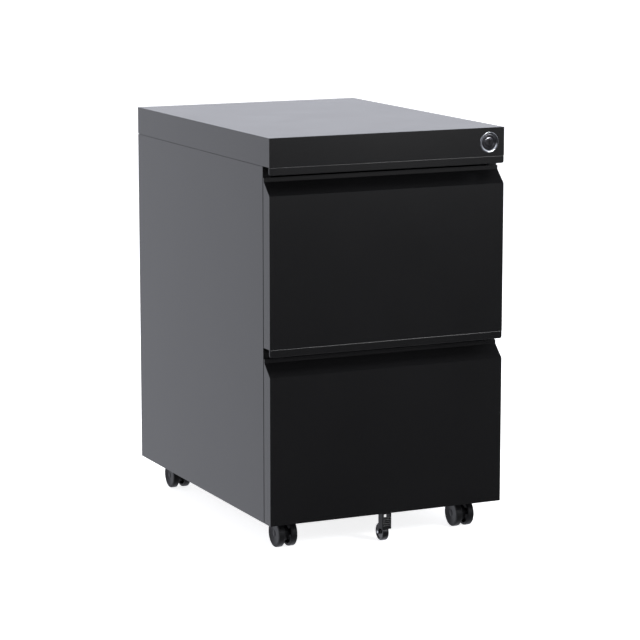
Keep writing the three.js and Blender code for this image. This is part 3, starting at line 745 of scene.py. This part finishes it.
def anti_tip_wheel():
    """A small glossy roller, domed heads on its axle, and ribs across the CAD bracket's front."""
    low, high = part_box("tip_wheel")
    radius = (high.z - low.z) / 2
    width = high.x - low.x
    centre = Vector((high.x, (low.y + high.y) / 2, (low.z + high.z) / 2))
    r = ROLLER_SHOULDER
    roller = [
        (ROLLER_BORE, 0.4 * MM),
        (3.4 * MM, 0.4 * MM),
        (3.9 * MM, 1.3 * MM),
        (radius - 3.6 * MM, 1.3 * MM),
        (radius - 3.1 * MM, 0.3 * MM),
        *arc(radius - r, r, r, -75, 0, 7),
        *arc(radius - r, width - r, r, 0, 75, 7),
        (radius - 3.1 * MM, width - 0.3 * MM),
        (radius - 3.6 * MM, width - 1.3 * MM),
        (3.9 * MM, width - 1.3 * MM),
        (3.4 * MM, width - 0.4 * MM),
        (ROLLER_BORE, width - 0.4 * MM),
        (ROLLER_BORE, 0.4 * MM),
    ]
    piece = turned_along_x("tip_wheel_roller", roller, centre, 1)
    place(piece, "anti_tip_wheel", "black_nylon", GLOSSY, "tip_wheel")

    axle_low, axle_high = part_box("tip_wheel_axle")
    length = axle_high.x - axle_low.x
    rod = (axle_high.z - axle_low.z) / 2
    axle = [
        (0, 0),
        (1.4 * MM, 0.08 * MM),
        (2.1 * MM, 0.4 * MM),
        (2.3 * MM, 0.85 * MM),
        (rod, 0.9 * MM),
        (rod, length - 0.9 * MM),
        (2.3 * MM, length - 0.85 * MM),
        (2.1 * MM, length - 0.4 * MM),
        (1.4 * MM, length - 0.08 * MM),
        (0, length),
    ]
    pin = turned_along_x("tip_axle_pin", axle, Vector((axle_high.x, centre.y, centre.z)), 1, 40)
    place(pin, "lower_drawer", "zinc_plated_steel", CHROME, "tip_wheel_axle")

    bracket_low, bracket_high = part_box("tip_wheel_bracket")
    half = (bracket_high.x - bracket_low.x) / 2
    bm = bmesh.new()
    rib_top = bracket_high.z - RIB_TOP_DROP
    front = bracket_low.y - RIB_DEPTH
    for k in range(RIB_COUNT):
        z = rib_top - k * RIB_STEP
        outline = [
            (bracket_low.y + 0.2 * MM, z - 0.9 * MM),
            (front + 0.3 * MM, z - 0.6 * MM),
            (front, z - 0.2 * MM),
            (front, z + 0.2 * MM),
            (front + 0.3 * MM, z + 0.6 * MM),
            (bracket_low.y + 0.2 * MM, z + 0.9 * MM),
        ]
        prism(bm, outline, "x", -half + RIB_SIDE_GAP, half - RIB_SIDE_GAP)
    ribs = mesh_from(bm, "tip_bracket_ribs", smooth_angle=60)
    place(ribs, "lower_drawer", "black_powder_coat", GLOSSY)


# ---- Slide balls ------------------------------------------------------------------------------


def slide_balls(drawer, side):
    """Two ball rows above and two below, in a pressed cage. They travel with the middle member."""
    outer_low, outer_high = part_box(f"{drawer}_{side}_slide_outer")
    middle_low, middle_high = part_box(f"{drawer}_{side}_slide_middle")
    inner_low, inner_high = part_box(f"{drawer}_{side}_slide_inner")
    x = (inner_low.x + inner_high.x + outer_low.x + outer_high.x) / 4
    middle_y = (middle_low.y + middle_high.y) / 2
    t = CAGE_THICKNESS / 2
    w = CAGE_HALF_WIDTH
    balls = bmesh.new()
    cages = bmesh.new()
    runs = (
        (outer_low, outer_high, middle_low, middle_high, middle_y + 6 * MM, middle_high.y - 8 * MM),
        (middle_low, middle_high, inner_low, inner_high, middle_low.y + 8 * MM, middle_y - 6 * MM),
    )
    for holder_low, holder_high, held_low, held_high, start, end in runs:
        above = (holder_high.z - SLIDE_WALL + held_high.z) / 2
        below = (holder_low.z + SLIDE_WALL + held_low.z) / 2
        for z in (above, below):
            count = int((end - start) / BALL_STEP)
            for k in range(count + 1):
                spot = Matrix.Translation((x, start + k * BALL_STEP, z))
                bmesh.ops.create_uvsphere(
                    balls, u_segments=12, v_segments=8, radius=BALL_RADIUS, matrix=spot
                )
            strip = [(x - w, z - t), (x + w, z - t), (x + w, z + t), (x - w, z + t)]
            prism(cages, strip, "y", start - 4 * MM, end + 3 * MM)
    body = f"{drawer}_{side}_slide_carriage"
    row = mesh_from(balls, f"{drawer}_{side}_slide_balls", smooth_angle=60)
    place(row, body, "zinc_plated_steel", CHROME)
    cage = mesh_from(cages, f"{drawer}_{side}_slide_cage")
    soften(cage, CAGE_EDGE)
    place(cage, body, "zinc_plated_steel", ZINC)


# ---- Assembly ---------------------------------------------------------------------------------

place(top_cap(), "cabinet", "black_powder_coat", PAINT, "top_cap")
place(lip("cap_lip", TOP_Z - CAP_HEIGHT), "cabinet", "black_powder_coat", PAINT)
for side, sign in SIDES:
    skin = side_wall(side, sign)
    place(skin, "cabinet", "black_powder_coat", PAINT, f"{side}_side_panel")
    place(side_folds(side, sign), "cabinet", "black_powder_coat", PAINT)
lock_pieces()
for place_name in CASTERS:
    caster_housing(place_name)
    for side, sign in SIDES:
        caster_wheel(place_name, side, sign)
anti_tip_wheel()
for drawer in DRAWERS:
    for side, _ in SIDES:
        slide_balls(drawer, side)
for drawer in DRAWERS:
    pan, crease = drawer_front(drawer)
    place(pan, f"{drawer}_drawer", "black_powder_coat", PAINT, f"{drawer}_drawer_front")
    if drawer == "upper":
        place(lip("upper_front_lip", crease), "upper_drawer", "black_powder_coat", PAINT)

ZINC_WORDS = ("slide", "axle", "catch", "lock_bar", "lock_cam", "lock_nut")
for name, node in nodes.items():
    if node.hide_render:
        continue
    if any(word in name for word in ZINC_WORDS):
        cad_finish(name, ZINC)
    elif name == "tip_wheel_bracket":
        cad_finish(name, HOUSING, softness=PAINTED_EDGE, segments=2)
    else:
        cad_finish(name, PAINT, softness=PAINTED_EDGE, segments=2)

# ---- Studio -----------------------------------------------------------------------------------

SURROUND = (0.97, 0.99, 1.08)
ABOVE_HORIZON_GAIN = 1.19
DIM_FRONT = (0.055, 0.055, 0.06)
DIM_ABOVE = (0.05, 0.05, 0.055)
FLOOR_GLOW = 0.8
FLOOR_REACH = 100
SOFT_BOX_PLACE = (0.727, -1.616, 0.948)
SOFT_BOX_TARGET = (0.06, -0.25, 0.45)
SOFT_BOX_SIZE = (0.5, 0.3)
SOFT_BOX_POWER = 9
OVERHEAD_HEIGHT = 3
OVERHEAD_SIZE = (3, 3)
OVERHEAD_POWER = 60
# Where each tone fades in, as the Y or Z part of the direction.
DIM_FRONT_Y = (0.0, -0.6)
DIM_FRONT_Z = (0.35, -0.1)
DIM_ABOVE_Z = (0.45, 0.8)
ABOVE_HORIZON_Z = (-0.02, 0.12)
FLOOR_DROP = 0.2 * MM
SENSOR_WIDTH = 36
LENS = 150.97
CAMERA_PLACE = (-1.6835, -3.6245, 0.9925)
CAMERA_AZIMUTH = -25.03
CAMERA_ELEVATION = 10.0
CAMERA_REACH = 100


def studio():
    """A pale surround, brighter above the horizon, dark overhead and dark low in front."""
    world = bpy.data.worlds.new("studio")
    bpy.context.scene.world = world
    world.use_nodes = True
    tree = world.node_tree
    background = tree.nodes["Background"]
    where = tree.nodes.new("ShaderNodeTexCoord")
    split = tree.nodes.new("ShaderNodeSeparateXYZ")
    tree.links.new(where.outputs["Generated"], split.inputs["Vector"])

    def fade(axis, start, end):
        """Rises smoothly from 0 to 1 as one part of the direction goes from start to end."""
        step = tree.nodes.new("ShaderNodeMapRange")
        step.interpolation_type = "SMOOTHSTEP"
        step.inputs["From Min"].default_value = start
        step.inputs["From Max"].default_value = end
        tree.links.new(split.outputs[axis], step.inputs["Value"])
        return step.outputs["Result"]

    dim = tree.nodes.new("ShaderNodeMath")
    dim.operation = "MULTIPLY"
    tree.links.new(fade("Y", *DIM_FRONT_Y), dim.inputs[0])
    tree.links.new(fade("Z", *DIM_FRONT_Z), dim.inputs[1])
    mix = tree.nodes.new("ShaderNodeMix")
    mix.data_type = "RGBA"
    tree.links.new(dim.outputs[0], mix.inputs["Factor"])
    mix.inputs["A"].default_value = (*SURROUND, 1)
    mix.inputs["B"].default_value = (*DIM_FRONT, 1)
    above = tree.nodes.new("ShaderNodeMix")
    above.data_type = "RGBA"
    tree.links.new(fade("Z", *DIM_ABOVE_Z), above.inputs["Factor"])
    tree.links.new(mix.outputs["Result"], above.inputs["A"])
    above.inputs["B"].default_value = (*DIM_ABOVE, 1)
    tree.links.new(above.outputs["Result"], background.inputs["Color"])
    lift = tree.nodes.new("ShaderNodeMath")
    lift.operation = "MULTIPLY_ADD"
    tree.links.new(fade("Z", *ABOVE_HORIZON_Z), lift.inputs[0])
    lift.inputs[1].default_value = ABOVE_HORIZON_GAIN - 1
    lift.inputs[2].default_value = 1
    tree.links.new(lift.outputs[0], background.inputs["Strength"])


def area_light(name, location, target, width, height, energy):
    light = bpy.data.lights.new(name, "AREA")
    light.shape = "RECTANGLE"
    light.size, light.size_y, light.energy = width, height, energy
    lamp = new_object(name, light)
    lamp.location = location
    direction = Vector(target) - Vector(location)
    lamp.rotation_euler = direction.to_track_quat("-Z", "Y").to_euler()
    return lamp


def pale_floor():
    """A wide matt floor that also glows, so it stays white right up to the wheels."""
    bm = bmesh.new()
    reach = FLOOR_REACH
    plan = ((-reach, -reach), (reach, -reach), (reach, reach), (-reach, reach))
    bm.faces.new([bm.verts.new((x, y, -FLOOR_DROP)) for x, y in plan])
    floor = mesh_from(bm, "floor")
    m = Nodes("pale_floor")
    grain = m.noise(3, detail=3)
    m.link(m.ramp(grain.outputs["Fac"], (0.93,) * 3, (0.95,) * 3), m.shader.inputs["Base Color"])
    m.shader.inputs["Roughness"].default_value = 0.9
    m.shader.inputs["Specular IOR Level"].default_value = 0.1
    m.shader.inputs["Emission Color"].default_value = (1, 1, 1, 1)
    m.shader.inputs["Emission Strength"].default_value = FLOOR_GLOW
    floor.data.materials.append(m.material)
    floor.visible_glossy = False


def photo_camera():
    camera = bpy.data.cameras.new("camera")
    camera.sensor_width = SENSOR_WIDTH
    camera.lens = LENS
    camera.clip_end = CAMERA_REACH
    eye = new_object("camera", camera)
    azimuth, elevation = math.radians(CAMERA_AZIMUTH), math.radians(CAMERA_ELEVATION)
    back = Vector((
        math.sin(azimuth) * math.cos(elevation),
        -math.cos(azimuth) * math.cos(elevation),
        math.sin(elevation),
    ))
    eye.location = CAMERA_PLACE
    eye.rotation_mode = "QUATERNION"
    eye.rotation_quaternion = (-back).to_track_quat("-Z", "Y")
    bpy.context.scene.camera = eye


studio()
pale_floor()
soft_box = area_light("soft_box", SOFT_BOX_PLACE, SOFT_BOX_TARGET, *SOFT_BOX_SIZE, SOFT_BOX_POWER)
soft_box.visible_camera = False
overhead = area_light("overhead", (0, 0, OVERHEAD_HEIGHT), (0, 0, 0), *OVERHEAD_SIZE, OVERHEAD_POWER)
overhead.visible_glossy = False
overhead.visible_camera = False
photo_camera()
bpy.context.scene.view_settings.view_transform = "Standard"
